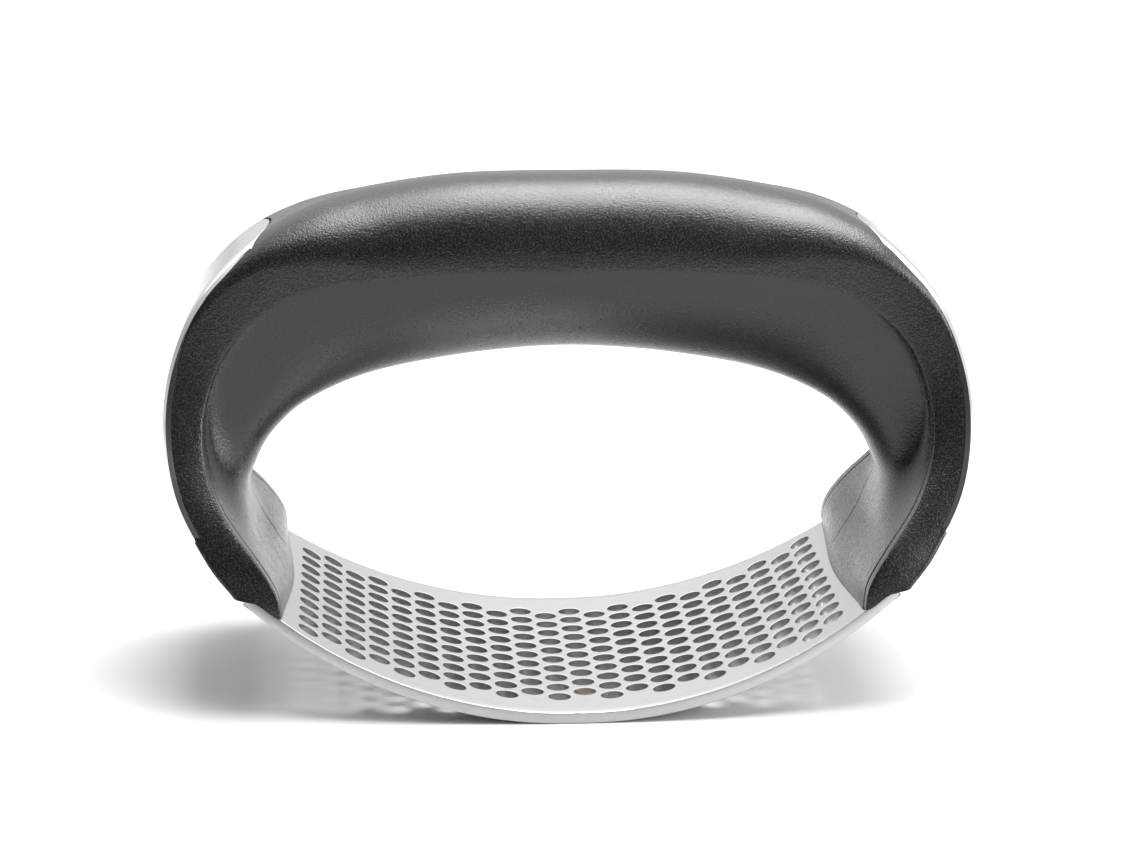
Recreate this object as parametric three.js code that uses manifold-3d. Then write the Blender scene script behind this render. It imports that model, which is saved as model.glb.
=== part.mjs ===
// Rocking garlic press: a curved perforated steel plate held in the feet of an arched handle.
// Millimetres, +X along the rocker, +Y from front to back, +Z up. The origin is the middle of
// the small flat under the plate, on which the press stands.
import * as THREE from 'three';
import { mergeVertices } from 'three/addons/utils/BufferGeometryUtils.js';
import Module from 'manifold-3d';

const wasm = await Module();
wasm.setup();

// ---------------------------------------------------------------- driving dimensions

const GAP = 0.3;                       // clearance between neighbouring pieces
const SHEET = 1.5;                     // plate thickness
const OUTER_RADIUS = 67.5;             // rocking surface
const INNER_RADIUS = OUTER_RADIUS - SHEET;

const PITCH = 4.0;                     // hole pitch of the staggered pattern
const HOLE_RADIUS = 1.5;
const HOLE_SIDES = 8;
const COLUMNS = 22;
const ROWS = 10;
const COLUMN_STEP = PITCH * Math.cos(Math.PI / 6);
const COLUMN_ANGLE = COLUMN_STEP / INNER_RADIUS;
const STAGGER = PITCH / 4;             // neighbouring columns shift this far to either side

const PLATE_HALF_DEPTH = 25.8;         // at the middle; the long edges are slightly bowed
const PLATE_EDGE_RADIUS = 211;         // of the bowed edges, in plan
const PLATE_END_ANGLE = THREE.MathUtils.degToRad(39.5);
const BEND_START_ANGLE = THREE.MathUtils.degToRad(37.2);
const BEND_RADIUS = 4.5;               // outside of the bend where the plate turns into its tongue
const TONGUE_ANGLE = THREE.MathUtils.degToRad(72);
const TONGUE_LENGTH = 17.6;
const TONGUE_HALF_WIDTH = 7.1;
const TONGUE_RELIEF = 1.2;             // notches that free the bend from the plate's shoulders

const ROOT_GAP = GAP / 2;              // each shell stays this far from their common joint
const SHELL_WALL = 1.8;                // front and back walls of the outer shell
const SHELL_ROOF = 2.9;                // outer wall under the trim
const LINER_WALL = 2.2;
const REBATE = 2.0;                    // how far the inner shells reach up inside the legs
const BULGE_HALF_DEPTH = 9.3;          // of the rounded bar inside each leg

const TRIM_THICKNESS = 1.0;
const TRIM_TOP = 3.5;                  // stations where the trim starts and ends, on its centre line
const TRIM_FOOT = 8.78;
const TRIM_TOP_RADIUS = 9.5;           // the ends are arcs across the strip
const TRIM_FOOT_RADIUS = 95;
const TRIM_TOP_EDGE = 0.48;            // share of the corner left bare beside the trim near its top,
const TRIM_EDGE = 0.3;                 // and lower down
const TRIM_WIDENS = [3.8, 4.5];        // stations where it changes from one to the other

const SCREW_OFFSET = 4.6;              // screws sit in pairs, this far from the middle
const UPPER_SCREW_STATION = 4.95;
const UPPER_SCREW_LENGTH = 8;
const LOWER_SCREW_RUN = 14.9;          // up the tongue from its bend
const LOWER_SCREW_LENGTH = 4.4;
const SCREW_SEGMENTS = 10;
const HEAD_RADIUS = 2.2;
const HEAD_HEIGHT = 1.5;
const SHANK_RADIUS = 1.3;
const SEAT_DEPTH = 3.1;                // of the upper heads' undersides, below the leg's outer face
const SEAT_WALL = 1.5;                 // shell between a lower head and the tongue
const PAD_RADIUS = HEAD_RADIUS + 1.2;  // of the outer shell's screw pads
const BOSS_RADIUS = 3.1;               // of the inner shells' screw bosses
const BOSS_DEPTH = 13;

const SHELL_HOLLOW_END = 9.6;          // stations where the hollows end
const GRIP_HOLLOW_END = 6.6;
const CUT = 3;                         // cutters stand this far out of what they cut

// The handle's right half as stations from the middle of the grip down to the foot. Each has the
// outer face's x and z, the inner surface's x and z, the depth of the crease below the outer face,
// the half depth in Y, the corner's reach in Y and in depth, how far the section has changed from
// grip (0) to leg (1), and the Y of the joint between the two inner shells.
const STATIONS = [
  [0.0, 68.2, 0.0, 44.8, 11.5, 9.9, 9.9, 11.2, 0.0, 0.0],
  [14.0, 67.95, 9.5, 44.25, 11.4, 9.9, 9.9, 11.1, 0.0, 0.0],
  [26.0, 66.3, 18.5, 43.0, 10.8, 9.9, 9.4, 9.8, 0.0, 0.0],
  [35.0, 63.9, 25.5, 41.5, 9.7, 9.9, 7.4, 6.6, 0.1, 0.0],
  [42.6, 59.5, 31.0, 39.5, 8.35, 10.0, 4.4, 3.4, 0.3, 0.0],
  [48.85, 52.6, 35.8, 36.8, 7.1, 10.6, 2.2, 1.8, 0.65, 0.8],
  [52.2, 44.5, 39.4, 33.2, 6.4, 11.9, 1.5, 1.3, 0.92, 5.0],
  [53.1, 36.5, 41.4, 29.6, 6.15, 14.3, 1.3, 1.2, 1.0, 7.7],
  [51.65, 28.4, 42.4, 26.1, 6.35, 17.8, 1.3, 1.2, 1.0, 8.0],
  [47.6, 20.9, 41.5, 21.2, 6.4, 21.2, 1.3, 1.2, 1.0, 8.0],
  [44.4, 16.9, 38.8, 17.0, 5.9, 22.7, 1.3, 1.2, 1.0, 8.0],
  [41.6, 13.6, 36.9, 13.8, 3.7, 23.3, 1.3, 1.2, 1.0, 8.0],
  [39.6, 11.4, 36.8, 11.4, 2.0, 23.4, 1.0, 1.0, 1.0, 8.0],
];
const LAST = STATIONS.length - 1;

// ---------------------------------------------------------------- solids

function toSolid(geometry) {
  const bare = geometry.clone();
  for (const name of Object.keys(bare.attributes)) {
    if (name !== 'position') bare.deleteAttribute(name);
  }
  const merged = mergeVertices(bare, 1e-4);
  const corners = merged.index.array;
  if (signedVolume(merged) < 0) {
    for (let k = 0; k < corners.length; k += 3) {
      [corners[k], corners[k + 1]] = [corners[k + 1], corners[k]];
    }
  }
  const mesh = new wasm.Mesh({
    numProp: 3,
    vertProperties: Float32Array.from(merged.attributes.position.array),
    triVerts: Uint32Array.from(corners),
  });
  return new wasm.Manifold(mesh);
}

function signedVolume(geometry) {
  const [a, b, c] = [new THREE.Vector3(), new THREE.Vector3(), new THREE.Vector3()];
  const { position } = geometry.attributes;
  const corners = geometry.index.array;
  let volume = 0;
  for (let k = 0; k < corners.length; k += 3) {
    a.fromBufferAttribute(position, corners[k]);
    b.fromBufferAttribute(position, corners[k + 1]);
    c.fromBufferAttribute(position, corners[k + 2]);
    volume += a.dot(b.cross(c)) / 6;
  }
  return volume;
}

// Triangles that fill a flat outline, wound the way the outline runs.
function fill(outline, holes = []) {
  const triangles = THREE.ShapeUtils.triangulateShape(outline, holes);
  const all = [...outline, ...holes.flat()];
  const [a, b, c] = triangles[0].map((k) => all[k]);
  const turn = (b.x - a.x) * (c.y - a.y) - (b.y - a.y) * (c.x - a.x);
  if (turn * THREE.ShapeUtils.area(outline) > 0) return triangles;
  return triangles.map(([p, q, r]) => [p, r, q]);
}

function toGeometry(solid) {
  const mesh = solid.getMesh();
  const geometry = new THREE.BufferGeometry();
  geometry.setAttribute('position', new THREE.BufferAttribute(mesh.vertProperties, 3));
  geometry.setIndex(new THREE.BufferAttribute(mesh.triVerts, 1));
  geometry.computeVertexNormals();
  return geometry;
}

function fromTriangles(points, triangles) {
  const geometry = new THREE.BufferGeometry();
  geometry.setAttribute('position', new THREE.Float32BufferAttribute(points, 3));
  geometry.setIndex(triangles);
  return geometry;
}

// A closed body through closed rings of the same number of points. The flat outline of each end
// ring is given too, so that its cap can be filled.
function loft(rings, startOutline, endOutline) {
  const count = rings[0].length;
  const points = rings.flat().flatMap((p) => [p.x, p.y, p.z]);
  const triangles = [];
  for (let i = 0; i + 1 < rings.length; i += 1) {
    for (let j = 0; j < count; j += 1) {
      const a = i * count + j;
      const b = i * count + (j + 1) % count;
      triangles.push(a, b, a + count, b, b + count, a + count);
    }
  }
  const offset = (rings.length - 1) * count;
  for (const [a, b, c] of fill(startOutline)) triangles.push(a, c, b);
  for (const [a, b, c] of fill(endOutline)) triangles.push(offset + a, offset + b, offset + c);
  return fromTriangles(points, triangles);
}

// A closed sheet between an upper and a lower grid of points.
function slab(rows, columns, upper, lower) {
  const points = [];
  for (const grid of [upper, lower]) {
    for (let i = 0; i <= rows; i += 1) {
      for (let j = 0; j <= columns; j += 1) points.push(...grid(i / rows, j / columns).toArray());
    }
  }
  const at = (layer, i, j) => (layer * (rows + 1) + i) * (columns + 1) + j;
  const triangles = [];
  const quad = (a, b, c, d) => triangles.push(a, b, c, a, c, d);
  for (let i = 0; i < rows; i += 1) {
    for (let j = 0; j < columns; j += 1) {
      quad(at(0, i, j), at(0, i + 1, j), at(0, i + 1, j + 1), at(0, i, j + 1));
      quad(at(1, i, j), at(1, i, j + 1), at(1, i + 1, j + 1), at(1, i + 1, j));
    }
    quad(at(0, i, 0), at(1, i, 0), at(1, i + 1, 0), at(0, i + 1, 0));
    quad(at(0, i, columns), at(0, i + 1, columns), at(1, i + 1, columns), at(1, i, columns));
  }
  for (let j = 0; j < columns; j += 1) {
    quad(at(0, 0, j), at(0, 0, j + 1), at(1, 0, j + 1), at(1, 0, j));
    quad(at(0, rows, j), at(1, rows, j), at(1, rows, j + 1), at(0, rows, j + 1));
  }
  return fromTriangles(points, triangles);
}

// ---------------------------------------------------------------- the handle's sections

// Catmull-Rom through the stations; the left half is the right half mirrored in X.
function station(t) {
  const place = Math.min(Math.abs(t), LAST - 1e-9);
  const i = Math.floor(place);
  const f = place - i;
  const row = (k) => {
    if (k < 0) return STATIONS[-k].map((v, c) => (c === 0 || c === 2 ? -v : v));
    if (k > LAST) return STATIONS[LAST].map((v, c) => 2 * v - STATIONS[LAST - 1][c]);
    return STATIONS[k];
  };
  const [a, b, c, d] = [row(i - 1), row(i), row(i + 1), row(i + 2)];
  const values = b.map((v, k) => v + 0.5 * f * (c[k] - a[k]
    + f * (2 * a[k] - 5 * v + 4 * c[k] - d[k] + f * (3 * (v - c[k]) + d[k] - a[k]))));
  const side = t < 0 ? -1 : 1;
  const face = new THREE.Vector3(side * values[0], 0, values[1]);
  const inner = new THREE.Vector3(side * values[2], 0, values[3]);
  const inward = inner.clone().sub(face);
  const thickness = inward.length();
  const [crease, halfDepth, cornerY, cornerDepth, leg, seam] = values.slice(4);
  return {
    face,
    inward: inward.normalize(),
    thickness,
    crease,
    halfDepth,
    cornerY: Math.min(cornerY, halfDepth - 0.6),
    cornerDepth,
    leg: THREE.MathUtils.clamp(leg, 0, 1),
    seam,
  };
}

// A point of a section: y across the handle, depth below the outer face.
function place(s, y, depth) {
  return s.face.clone().addScaledVector(s.inward, depth).setY(y);
}

// Depth of the outer face at y: flat with rounded corners.
function faceDepth(s, y) {
  const past = Math.max(0, Math.abs(y) - (s.halfDepth - s.cornerY)) / s.cornerY;
  return s.cornerDepth * (1 - Math.sqrt(Math.max(0, 1 - past * past)));
}

// Half width of the inner shells: flush with the outer shell on the grip, inside it on the legs.
function linerHalf(s) {
  return s.halfDepth - s.leg * (SHELL_WALL + GAP);
}

// The inner surface from its edge (u = 0) to the middle (u = 1), as y and depth.
function innerPoint(s, u) {
  const mix = THREE.MathUtils.lerp;
  const half = linerHalf(s);
  const rise = s.thickness - s.crease;
  const curve = new THREE.CubicBezierCurve(
    new THREE.Vector2(half, 0),
    new THREE.Vector2(mix(half - 0.3, 0.45 * half + 1.2, s.leg), mix(0.35 * rise, 0, s.leg)),
    new THREE.Vector2(mix(0.55 * half, BULGE_HALF_DEPTH, s.leg), rise),
    new THREE.Vector2(0, rise),
  );
  const point = curve.getPoint(u);
  return new THREE.Vector2(point.x, s.crease + point.y);
}

// Loft of a section outline, given as a function of the station, between two stations.
function sweep(outline, from, to) {
  const steps = Math.round((to - from) * STEPS_PER_STATION);
  const rings = [];
  const outlines = [];
  for (let i = 0; i <= steps; i += 1) {
    const s = station(THREE.MathUtils.lerp(from, to, i / steps));
    const points = outline(s);
    outlines.push(points);
    rings.push(points.map((p) => place(s, p.x, p.y)));
  }
  return toSolid(loft(rings, outlines[0], outlines[steps]));
}

const STEPS_PER_STATION = 1.5;
const CORNER_STEPS = 3;
const INNER_STEPS = 5;

// Outer shell without its hollow: from the crease round the outer face to the other crease.
function shellOutline(s) {
  const half = [];
  for (let k = 0; k <= CORNER_STEPS; k += 1) {
    const angle = 0.5 * Math.PI * (1 - k / CORNER_STEPS);
    const y = s.halfDepth - s.cornerY + s.cornerY * Math.sin(angle);
    half.push(new THREE.Vector2(y, s.cornerDepth * (1 - Math.cos(angle))));
  }
  const end = s.crease - ROOT_GAP;
  const right = [new THREE.Vector2(s.halfDepth, end), ...half];
  const left = right.map((p) => new THREE.Vector2(-p.x, p.y)).reverse();
  return [...right, ...left];
}

function linerOutline(s) {
  const top = s.crease + THREE.MathUtils.lerp(ROOT_GAP, -REBATE, s.leg);
  const half = [];
  for (let k = 0; k <= INNER_STEPS; k += 1) {
    const point = innerPoint(s, k / INNER_STEPS);
    if (k === 0) point.y += ROOT_GAP;
    half.push(point);
  }
  const right = [new THREE.Vector2(linerHalf(s), top), ...half];
  const left = right.slice(0, -1).map((p) => new THREE.Vector2(-p.x, p.y)).reverse();
  return [...right, ...left].reverse();
}

// Room that the outer shell leaves for the inner shells.
function linerRoom(s) {
  const top = s.crease + THREE.MathUtils.lerp(ROOT_GAP, -REBATE, s.leg) - GAP;
  const half = linerHalf(s) + GAP;
  const bottom = s.crease + CUT;
  return [[-half, bottom], [half, bottom], [half, top], [-half, top]]
    .map(([y, depth]) => new THREE.Vector2(y, depth));
}

function shellHollow(s) {
  const reach = Math.max(0.8, s.cornerY - SHELL_WALL - 0.6);
  const drop = Math.max(0.6, s.cornerDepth - SHELL_ROOF);
  const half = [];
  for (let k = 0; k <= CORNER_STEPS; k += 1) {
    const angle = 0.5 * Math.PI * (1 - k / CORNER_STEPS);
    const y = s.halfDepth - SHELL_WALL - reach + reach * Math.sin(angle);
    half.push(new THREE.Vector2(y, SHELL_ROOF + drop * (1 - Math.cos(angle))));
  }
  const right = [new THREE.Vector2(half[0].x, s.crease + CUT), ...half];
  const left = right.map((p) => new THREE.Vector2(-p.x, p.y)).reverse();
  return [...right, ...left];
}

function gripHollow(s) {
  const half = [];
  for (let k = 0; k <= INNER_STEPS; k += 1) {
    const angle = 0.5 * Math.PI * k / INNER_STEPS;
    const y = (THREE.MathUtils.lerp(linerHalf(s), BULGE_HALF_DEPTH, s.leg) - LINER_WALL);
    const depth = s.crease + (s.thickness - s.crease - LINER_WALL) * Math.sin(angle);
    half.push(new THREE.Vector2(y * Math.cos(angle), depth));
  }
  const right = [new THREE.Vector2(half[0].x, s.crease - REBATE - CUT), ...half];
  const left = right.slice(0, -1).map((p) => new THREE.Vector2(-p.x, p.y)).reverse();
  return [...right, ...left].reverse();
}

// Everything behind the joint between the two inner shells, moved by an offset in Y.
function behindSeam(offset) {
  return (s) => {
    const near = s.seam + offset;
    const far = s.halfDepth + CUT;
    const top = s.crease - REBATE - CUT;
    const bottom = s.thickness + CUT;
    return [[near, bottom], [far, bottom], [far, top], [near, top]]
      .map(([y, depth]) => new THREE.Vector2(y, depth));
  };
}

// ---------------------------------------------------------------- the plate

const ARC_Z = OUTER_RADIUS * Math.cos(COLUMN_ANGLE);   // centre of the rocking arc
const ARC_END = INNER_RADIUS * PLATE_END_ANGLE;
const BEND_START = INNER_RADIUS * BEND_START_ANGLE;
const BEND_LENGTH = (BEND_RADIUS - SHEET) * (TONGUE_ANGLE - BEND_START_ANGLE);
const TONGUE_END = BEND_START + BEND_LENGTH + TONGUE_LENGTH;
const SHOULDER = TONGUE_HALF_WIDTH + TONGUE_RELIEF;    // inner end of the shoulders beside the tongue
const FRONT_CELLS = -ROWS * PITCH / 2 - STAGGER;       // the pattern's cells reach from here
const BACK_CELLS = -FRONT_CELLS;                       // to here

// The plate's side view: along is the distance from the middle on the inner surface, and height
// is measured from the outer surface. The two middle columns lie on a flat.
function platePoint(along, y, height) {
  const side = Math.sign(along) || 1;
  const run = Math.abs(along);
  const radius = OUTER_RADIUS - height;
  if (run <= COLUMN_STEP + 1e-6) {
    const x = radius * Math.sin(COLUMN_ANGLE) * run / COLUMN_STEP;
    return new THREE.Vector3(side * x, y, ARC_Z - radius * Math.cos(COLUMN_ANGLE));
  }
  if (run <= BEND_START || Math.abs(y) > TONGUE_HALF_WIDTH + 1e-6) {
    const angle = run / INNER_RADIUS;
    return new THREE.Vector3(side * radius * Math.sin(angle), y, ARC_Z - radius * Math.cos(angle));
  }
  const centre = new THREE.Vector2(
    (OUTER_RADIUS - BEND_RADIUS) * Math.sin(BEND_START_ANGLE),
    ARC_Z - (OUTER_RADIUS - BEND_RADIUS) * Math.cos(BEND_START_ANGLE),
  );
  const bent = Math.min(run - BEND_START, BEND_LENGTH);
  const angle = BEND_START_ANGLE + (TONGUE_ANGLE - BEND_START_ANGLE) * bent / BEND_LENGTH;
  const straight = Math.max(0, run - BEND_START - BEND_LENGTH);
  const turn = BEND_RADIUS - height;
  const x = centre.x + turn * Math.sin(angle) + straight * Math.cos(angle);
  const z = centre.y - turn * Math.cos(angle) + straight * Math.sin(angle);
  return new THREE.Vector3(side * x, y, z);
}

function plateHalfDepth(along) {
  return PLATE_HALF_DEPTH - PLATE_EDGE_RADIUS + Math.sqrt(PLATE_EDGE_RADIUS ** 2 - along ** 2);
}

// Points of the flat plate at one distance along it.
function across(along, ...places) {
  return places.map((y) => [along, y]);
}

// The perforated stretch as flat cells in (along, y), each with its outline and perhaps one hole.
function plateCells() {
  const cells = [];
  for (let column = 0; column < COLUMNS; column += 1) {
    const middle = (column - (COLUMNS - 1) / 2) * COLUMN_STEP;
    const left = middle - COLUMN_STEP / 2;
    const right = middle + COLUMN_STEP / 2;
    const front = column % 2 === 0 ? FRONT_CELLS : FRONT_CELLS + 2 * STAGGER;
    const back = front + ROWS * PITCH;
    for (let row = 0; row < ROWS; row += 1) {
      const low = front + row * PITCH;
      const [half, high] = [low + PITCH / 2, low + PITCH];
      const outline = [...across(right, low, half, high), ...across(left, high, half, low)];
      cells.push({ outline, hole: [middle, half] });
    }
    // Front and back margins, with a corner wherever the neighbouring column's cells end.
    const frontCorner = front > FRONT_CELLS ? [FRONT_CELLS] : [];
    const backCorner = back < BACK_CELLS ? [BACK_CELLS] : [];
    cells.push({ outline: [
      ...across(right, -plateHalfDepth(right), ...frontCorner, front),
      ...across(left, front, ...frontCorner, -plateHalfDepth(left)),
    ] });
    cells.push({ outline: [
      ...across(right, back, ...backCorner, plateHalfDepth(right)),
      ...across(left, plateHalfDepth(left), ...backCorner, back),
    ] });
  }
  return cells;
}

// The unperforated right end as strips, each from its near points to its far ones, y ascending.
function endStrips() {
  const start = COLUMNS / 2 * COLUMN_STEP;
  const middle = (start + BEND_START) / 2;
  const corners = [];
  for (let k = 0; k <= 2 * ROWS + 1; k += 1) corners.push(FRONT_CELLS + k * PITCH / 2);
  const edges = (run, ...inner) => across(run, -plateHalfDepth(run), ...inner, plateHalfDepth(run));
  const [tongue, shoulder] = [TONGUE_HALF_WIDTH, SHOULDER];
  const strips = [
    [edges(start, ...corners), edges(middle)],
    [edges(middle), edges(BEND_START, -shoulder, -tongue, tongue, shoulder)],
    [across(BEND_START, -plateHalfDepth(BEND_START), -shoulder),
      across(ARC_END, -plateHalfDepth(ARC_END), -shoulder)],
    [across(BEND_START, shoulder, plateHalfDepth(BEND_START)),
      across(ARC_END, shoulder, plateHalfDepth(ARC_END))],
  ];
  const runs = [0, 1, 2, 3].map((k) => BEND_START + BEND_LENGTH * k / 3);
  runs.push(TONGUE_END);
  for (let k = 0; k + 1 < runs.length; k += 1) {
    strips.push([across(runs[k], -tongue, tongue), across(runs[k + 1], -tongue, tongue)]);
  }
  return strips;
}

function plateGeometry() {
  const points = [];
  const triangles = [];
  const known = new Map();
  const vertex = (along, y, height) => {
    const key = `${along.toFixed(4)},${y.toFixed(4)},${height}`;
    if (!known.has(key)) {
      known.set(key, points.length / 3);
      points.push(...platePoint(along, y, height).toArray());
    }
    return known.get(key);
  };
  const wall = ([ax, ay], [bx, by]) => {
    const a = vertex(ax, ay, SHEET);
    const b = vertex(bx, by, SHEET);
    const c = vertex(bx, by, 0);
    const d = vertex(ax, ay, 0);
    triangles.push(a, d, c, a, c, b);
  };
  // Edges that only one patch has so far: the ones left at the end get a wall.
  const edges = new Map();
  const name = ([x, y]) => `${x.toFixed(4)},${y.toFixed(4)}`;
  const patch = (outline, hole = []) => {
    const flat = [...outline, ...hole];
    const contour = outline.map((p) => new THREE.Vector2(...p));
    const inner = hole.length ? [hole.map((p) => new THREE.Vector2(...p))] : [];
    for (const [a, b, c] of fill(contour, inner)) {
      triangles.push(...[a, b, c].map((k) => vertex(...flat[k], SHEET)));
      triangles.push(...[a, c, b].map((k) => vertex(...flat[k], 0)));
    }
    outline.forEach((p, k) => {
      const q = outline[(k + 1) % outline.length];
      if (!edges.delete(`${name(q)}|${name(p)}`)) edges.set(`${name(p)}|${name(q)}`, [p, q]);
    });
  };
  for (const { outline, hole } of plateCells()) {
    const rim = [];
    for (let k = 0; hole && k < HOLE_SIDES; k += 1) {
      const reach = HOLE_RADIUS / Math.cos(Math.PI / HOLE_SIDES / 2);
      const angle = -2 * Math.PI * (k + 0.5) / HOLE_SIDES;
      rim.push([hole[0] + reach * Math.cos(angle), hole[1] + reach * Math.sin(angle)]);
    }
    patch(outline, rim);
    rim.forEach((p, k) => wall(p, rim[(k + 1) % rim.length]));
  }
  for (const [near, far] of endStrips()) {
    const outline = [...far, ...near.reverse()];
    patch(outline);
    patch(outline.map(([along, y]) => [-along, y]).reverse());
  }
  for (const [p, q] of edges.values()) wall(p, q);
  return fromTriangles(points, triangles);
}

// A prism along Y over a side view, on one side of the press.
function prism(outline, halfWidth, side) {
  const shape = new THREE.Shape(outline.map(([x, z]) => new THREE.Vector2(side * x, z)));
  const geometry = new THREE.ExtrudeGeometry(shape, { depth: 2 * halfWidth, bevelEnabled: false });
  geometry.rotateX(Math.PI / 2);
  geometry.translate(0, halfWidth, 0);
  return toSolid(geometry);
}

// Side view of the plate grown by the clearance, at one place across it.
function slotOutline(y, from, to) {
  const steps = 10;
  const under = [];
  const over = [];
  for (let k = 0; k <= steps; k += 1) {
    const run = THREE.MathUtils.lerp(from, to, k / steps);
    const low = platePoint(run, y, -GAP);
    const high = platePoint(run, y, SHEET + GAP);
    under.push([low.x, low.z]);
    over.push([high.x, high.z]);
  }
  return [...under, ...over.reverse()];
}

// The side view of all that the feet leave free: the plate's curve and everything under it, up to
// the lip where each foot closes over the plate's edge.
const LIP_START = [40.9, 15.75];
const LIP_END = [43.7, 16.25];

function underPlateOutline() {
  const outline = [];
  const startAngle = 0.3;
  const endAngle = Math.asin(LIP_START[0] / (INNER_RADIUS - GAP));
  for (let k = 0; k <= 12; k += 1) {
    const angle = THREE.MathUtils.lerp(startAngle, endAngle, k / 12);
    const radius = INNER_RADIUS - GAP;
    outline.push([radius * Math.sin(angle), ARC_Z - radius * Math.cos(angle)]);
  }
  outline.push(LIP_START, LIP_END, [50, 12], [50, -5], [outline[0][0], -5]);
  return outline;
}

// ---------------------------------------------------------------- trims and screws

// Half width of the trim at a station.
function trimHalf(t) {
  const s = station(t);
  const lower = THREE.MathUtils.smoothstep(Math.abs(t), ...TRIM_WIDENS);
  return s.halfDepth - THREE.MathUtils.lerp(TRIM_TOP_EDGE, TRIM_EDGE, lower) * s.cornerY;
}

// Trim strip on one leg, grown by a clearance for the recess that takes it.
function trim(side, clearance) {
  const perStation = station(TRIM_TOP).face.distanceTo(station(TRIM_TOP + 1).face);
  const rounding = (y, radius) => y * y / (2 * radius) / perStation;
  const reach = clearance / perStation;
  const position = (u, v) => {
    const across = 2 * v - 1;
    const yTop = across * trimHalf(TRIM_TOP);
    const yFoot = across * trimHalf(TRIM_FOOT);
    const start = TRIM_TOP - reach + rounding(yTop, TRIM_TOP_RADIUS);
    const end = TRIM_FOOT + reach - rounding(yFoot, TRIM_FOOT_RADIUS);
    const t = side * THREE.MathUtils.lerp(start, end, u);
    return { s: station(t), y: side * across * (trimHalf(t) + clearance) };
  };
  const upper = (u, v) => {
    const { s, y } = position(u, v);
    return place(s, y, clearance > 0 ? -CUT : faceDepth(s, y));
  };
  const lower = (u, v) => {
    const { s, y } = position(u, v);
    return place(s, y, TRIM_THICKNESS + clearance + faceDepth(s, y));
  };
  return slab(18, 8, upper, lower);
}

// Screw with its head's top at the origin, pointing down -Z.
function screwGeometry(length) {
  const point = 1.2;
  const socket = 0.8;
  const profile = [
    [0, -HEAD_HEIGHT - length],
    [0.35, -HEAD_HEIGHT - length],
    [SHANK_RADIUS, -HEAD_HEIGHT - length + point],
    [SHANK_RADIUS, -HEAD_HEIGHT],
    [HEAD_RADIUS, -HEAD_HEIGHT],
    [HEAD_RADIUS, -0.5],
    [HEAD_RADIUS - 0.5, 0],
    [1.0, 0],
    [0.7, -socket],
    [0, -socket],
  ];
  return new THREE.LatheGeometry(profile.map(([r, z]) => new THREE.Vector2(r, z)), SCREW_SEGMENTS)
    .rotateX(Math.PI / 2);
}

function rod(radius, from, to) {
  const profile = [[0, from], [radius, from], [radius, to], [0, to]];
  const points = profile.map(([r, z]) => new THREE.Vector2(r, z));
  return new THREE.LatheGeometry(points, SCREW_SEGMENTS).rotateX(Math.PI / 2);
}

// The four screw places of one leg: where the head's top is, the way it points, its length, and
// how far below the head's top the shell is solid for it.
function screwPlaces(side) {
  const upper = station(side * UPPER_SCREW_STATION);
  const tongue = platePoint(side * (BEND_START + BEND_LENGTH + LOWER_SCREW_RUN), 0, SHEET / 2);
  const through = new THREE.Vector3(-side * Math.sin(TONGUE_ANGLE), 0, Math.cos(TONGUE_ANGLE));
  const lowerTop = tongue.addScaledVector(through, -SHEET / 2 - SEAT_WALL - HEAD_HEIGHT);
  return [-SCREW_OFFSET, SCREW_OFFSET].flatMap((y) => {
    const end = y < 0 ? 'front' : 'back';
    return [{
      name: `upper_${end}`,
      isUpper: true,
      top: place(upper, y, SEAT_DEPTH - HEAD_HEIGHT),
      inward: upper.inward,
      length: UPPER_SCREW_LENGTH,
      padDepth: upper.crease - REBATE - 1.2,
    }, {
      name: `lower_${end}`,
      isUpper: false,
      top: lowerTop.clone().setY(y),
      inward: through,
      length: LOWER_SCREW_LENGTH,
      padDepth: HEAD_HEIGHT + SEAT_WALL - GAP,
    }];
  });
}

function aim(object, spot) {
  object.quaternion.setFromUnitVectors(new THREE.Vector3(0, 0, -1), spot.inward);
  object.position.copy(spot.top);
  return object;
}

function placedSolid(geometry, spot) {
  const holder = aim(new THREE.Object3D(), spot);
  holder.updateMatrix();
  return toSolid(geometry.clone().applyMatrix4(holder.matrix));
}

// ---------------------------------------------------------------- the pieces

const SIDES = [-1, 1];
const allScrews = SIDES.flatMap((side) => screwPlaces(side).map((spot) => ({ side, ...spot })));

const slots = SIDES.map((side) => {
  const wide = slotOutline(SHOULDER, ARC_END - 9, ARC_END + GAP);
  const narrow = slotOutline(0, BEND_START - 1, TONGUE_END + GAP);
  return prism(wide, plateHalfDepth(BEND_START) + GAP, side)
    .add(prism(narrow, TONGUE_HALF_WIDTH + GAP, side));
});
const underPlate = SIDES.map((side) => prism(underPlateOutline(), OUTER_RADIUS, side));

function cutFeet(solid) {
  let result = solid;
  for (const cutter of [...slots, ...underPlate]) result = result.subtract(cutter);
  return result;
}

function buildPlate() {
  let plate = toSolid(plateGeometry());
  for (const spot of allScrews.filter((s) => !s.isUpper)) {
    plate = plate.subtract(placedSolid(rod(SHANK_RADIUS + GAP, -spot.length - CUT, 0), spot));
  }
  return plate;
}

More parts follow.
